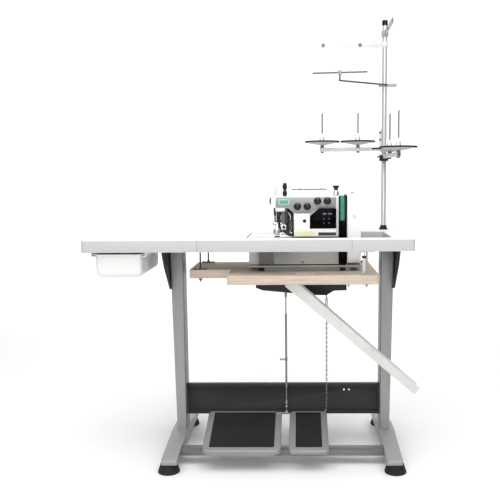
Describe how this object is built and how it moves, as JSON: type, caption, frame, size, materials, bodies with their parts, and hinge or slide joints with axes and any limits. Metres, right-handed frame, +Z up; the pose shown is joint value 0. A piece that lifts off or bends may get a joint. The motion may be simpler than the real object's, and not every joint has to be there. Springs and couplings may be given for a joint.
{
  "type": "serger overlock machine",
  "caption": "Overlock sewing machine head sunk into a worktable on a steel stand, with two pedals, a drawer, a waste chute and a stand for thread spools.",
  "frame": {"origin": "on the floor, under the middle of the machine's box", "axes": "+Z up; the operator sits at -Y and faces +Y; +X to the operator's right, where the thread stand is"},
  "size_m": [1.1385, 0.572, 1.59],
  "materials": {
    "white_laminate": "satin",
    "plywood": "matte",
    "stand_grey": "satin",
    "stand_dark": "satin",
    "stand_white": "satin",
    "head_white": "satin",
    "head_grey": "satin",
    "head_cover": "satin",
    "white_plastic": "satin",
    "black_plastic": "satin",
    "gloss_black": "gloss",
    "rubber": "matte",
    "steel": "satin"
  },
  "bodies": {
    "stand": {"table_top": "white_laminate", "leg_post_left": "stand_grey", "leg_post_right": "stand_grey", "foot_left": "stand_grey", "foot_right": "stand_grey", "table_arm_left": "stand_dark", "table_arm_right": "stand_dark", "pad_front_left": "rubber", "pad_rear_left": "rubber", "pad_front_right": "rubber", "pad_rear_right": "rubber", "crossbeam": "stand_dark", "pedal_bar": "stand_grey", "mounting_board": "plywood", "hanger_front_left": "steel", "hanger_rear_left": "steel", "hanger_front_right": "steel", "hanger_rear_right": "steel", "drawer_rails": "white_plastic", "control_box": "black_plastic", "waste_chute": "white_plastic", "head_bed": "head_grey", "cloth_plate": "steel", "head_body": "head_white", "display_panel": "gloss_black", "light_strip": "gloss_black", "motor_cover": "head_cover", "top_housing": "head_cover", "oil_sight": "steel", "pole_lower": "steel", "pole_upper": "steel"},
    "front_insert": {"table_front_insert": "white_laminate"},
    "drawer": {"drawer_tray": "white_plastic"},
    "treadle": {"treadle_frame": "stand_grey", "treadle_mat": "rubber"},
    "treadle_link": {"treadle_rod": "steel"},
    "lifter_pedal": {"lifter_pedal_frame": "stand_grey", "lifter_pedal_mat": "rubber"},
    "lifter_chain": {"lift_chain": "steel"},
    "cover": {"looper_cover": "head_white"},
    "button": {"motor_cover_button": "steel"},
    "dial_1": {"tension_dial_1": "black_plastic"},
    "dial_2": {"tension_dial_2": "black_plastic"},
    "dial_3": {"tension_dial_3": "black_plastic"},
    "dial_4": {"tension_dial_4": "black_plastic"},
    "pressure_regulator": {"pressure_knob": "black_plastic"},
    "shaft": {"drive_shaft": "steel"},
    "needle": {"needle_bar": "steel"},
    "knife": {"upper_knife": "steel"},
    "lower_looper": {"looper": "steel"},
    "presser": {"presser_foot": "steel"},
    "left_spool_arm": {"spool_arm_left": "stand_white", "spool_disc_1": "white_plastic", "spool_disc_2": "white_plastic"},
    "front_spool_arm": {"spool_arm_front": "stand_white", "spool_disc_3": "white_plastic", "spool_disc_4": "white_plastic"},
    "left_top_guide": {"top_guide_left": "stand_white"},
    "front_top_guide": {"top_guide_front": "stand_white"},
    "thread_bar": {"middle_guide": "steel"}
  },
  "joints": [
    {"name": "insert_slide", "type": "slide", "parent": "stand", "child": "front_insert", "axis": [0, -1, 0], "range_m": [0, 0.06]},
    {"name": "drawer_slide", "type": "slide", "parent": "stand", "child": "drawer", "axis": [0, -1, 0], "range_m": [0, 0.25]},
    {"name": "treadle_hinge", "type": "hinge", "parent": "stand", "child": "treadle", "pos_m": [-0.056, -0.166, 0.08], "axis": [1, 0, 0], "range_deg": [-10, 6], "stiffness_Nm_per_rad": 12, "springref_deg": 3.61},
    {"name": "treadle_rod_hinge", "type": "hinge", "parent": "treadle", "child": "treadle_link", "pos_m": [0.096, -0.048, 0.1697], "axis": [1, 0, 0], "range_deg": [-7, 11]},
    {"name": "lifter_hinge", "type": "hinge", "parent": "stand", "child": "lifter_pedal", "pos_m": [0.1755, -0.166, 0.08], "axis": [1, 0, 0], "range_deg": [-10, 0], "stiffness_Nm_per_rad": 8, "springref_deg": 6.88},
    {"name": "lift_chain_hinge", "type": "hinge", "parent": "lifter_pedal", "child": "lifter_chain", "pos_m": [0.243, -0.046, 0.158], "axis": [1, 0, 0], "range_deg": [-1, 11]},
    {"name": "presser_lift", "type": "slide", "parent": "stand", "child": "presser", "axis": [0, 0, 1], "range_m": [0, 0.006]},
    {"name": "looper_cover_hinge", "type": "hinge", "parent": "stand", "child": "cover", "pos_m": [0.2, -0.157, 0.801], "axis": [1, 0, 0], "range_deg": [0, 80]},
    {"name": "button_press", "type": "slide", "parent": "stand", "child": "button", "axis": [0, 0, -1], "range_m": [0, 0.0015], "stiffness_N_per_m": 300, "springref_m": -0.001},
    {"name": "tension_dial_1_turn", "type": "hinge", "parent": "stand", "child": "dial_1", "pos_m": [0.14, -0.16, 0.9035], "axis": [0, 1, 0], "range_deg": [-180, 180]},
    {"name": "tension_dial_2_turn", "type": "hinge", "parent": "stand", "child": "dial_2", "pos_m": [0.1735, -0.16, 0.9035], "axis": [0, 1, 0], "range_deg": [-180, 180]},
    {"name": "tension_dial_3_turn", "type": "hinge", "parent": "stand", "child": "dial_3", "pos_m": [0.209, -0.16, 0.922], "axis": [0, 1, 0], "range_deg": [-180, 180]},
    {"name": "tension_dial_4_turn", "type": "hinge", "parent": "stand", "child": "dial_4", "pos_m": [0.2425, -0.16, 0.922], "axis": [0, 1, 0], "range_deg": [-180, 180]},
    {"name": "pressure_knob_turn", "type": "hinge", "parent": "stand", "child": "pressure_regulator", "pos_m": [0.096, -0.08, 0.95], "axis": [0, 0, 1], "range_deg": [-180, 180]},
    {"name": "shaft_turn", "type": "hinge", "parent": "stand", "child": "shaft", "pos_m": [0.2, -0.02, 0.75], "axis": [1, 0, 0], "range_deg": [0, 180]},
    {"name": "needle_stroke", "type": "slide", "parent": "stand", "child": "needle", "axis": [0, 0, -1], "range_m": [0, 0.02]},
    {"name": "knife_stroke", "type": "slide", "parent": "stand", "child": "knife", "axis": [0, 0, 1], "range_m": [0, 0.008]},
    {"name": "looper_swing", "type": "hinge", "parent": "stand", "child": "lower_looper", "pos_m": [0.06, -0.07, 0.74], "axis": [1, 0, 0], "range_deg": [-15, 0]},
    {"name": "spool_arm_left_turn", "type": "hinge", "parent": "stand", "child": "left_spool_arm", "pos_m": [0.473, 0.2, 1.1], "axis": [0, 0, 1], "range_deg": [-40, 15]},
    {"name": "spool_arm_front_turn", "type": "hinge", "parent": "stand", "child": "front_spool_arm", "pos_m": [0.473, 0.2, 1.08], "axis": [0, 0, 1], "range_deg": [-15, 40]},
    {"name": "top_guide_left_turn", "type": "hinge", "parent": "stand", "child": "left_top_guide", "pos_m": [0.473, 0.2, 1.499], "axis": [0, 0, 1], "range_deg": [-40, 40]},
    {"name": "top_guide_front_turn", "type": "hinge", "parent": "stand", "child": "front_top_guide", "pos_m": [0.473, 0.2, 1.54], "axis": [0, 0, 1], "range_deg": [-40, 40]},
    {"name": "middle_guide_turn", "type": "hinge", "parent": "stand", "child": "thread_bar", "pos_m": [0.473, 0.2, 1.349], "axis": [0, 0, 1], "range_deg": [-30, 30]}
  ],
  "couplings": [
    {"joint": "treadle_rod_hinge", "follows": "treadle_hinge", "ratio": -1},
    {"joint": "lift_chain_hinge", "follows": "lifter_hinge", "ratio": -1},
    {"joint": "presser_lift", "follows": "lifter_hinge", "m_per_rad": -0.0343},
    {"joint": "needle_stroke", "follows": "shaft_turn", "m_per_rad": 0.00636},
    {"joint": "knife_stroke", "follows": "shaft_turn", "m_per_rad": 0.0025},
    {"joint": "looper_swing", "follows": "shaft_turn", "ratio": -0.08}
  ]
}
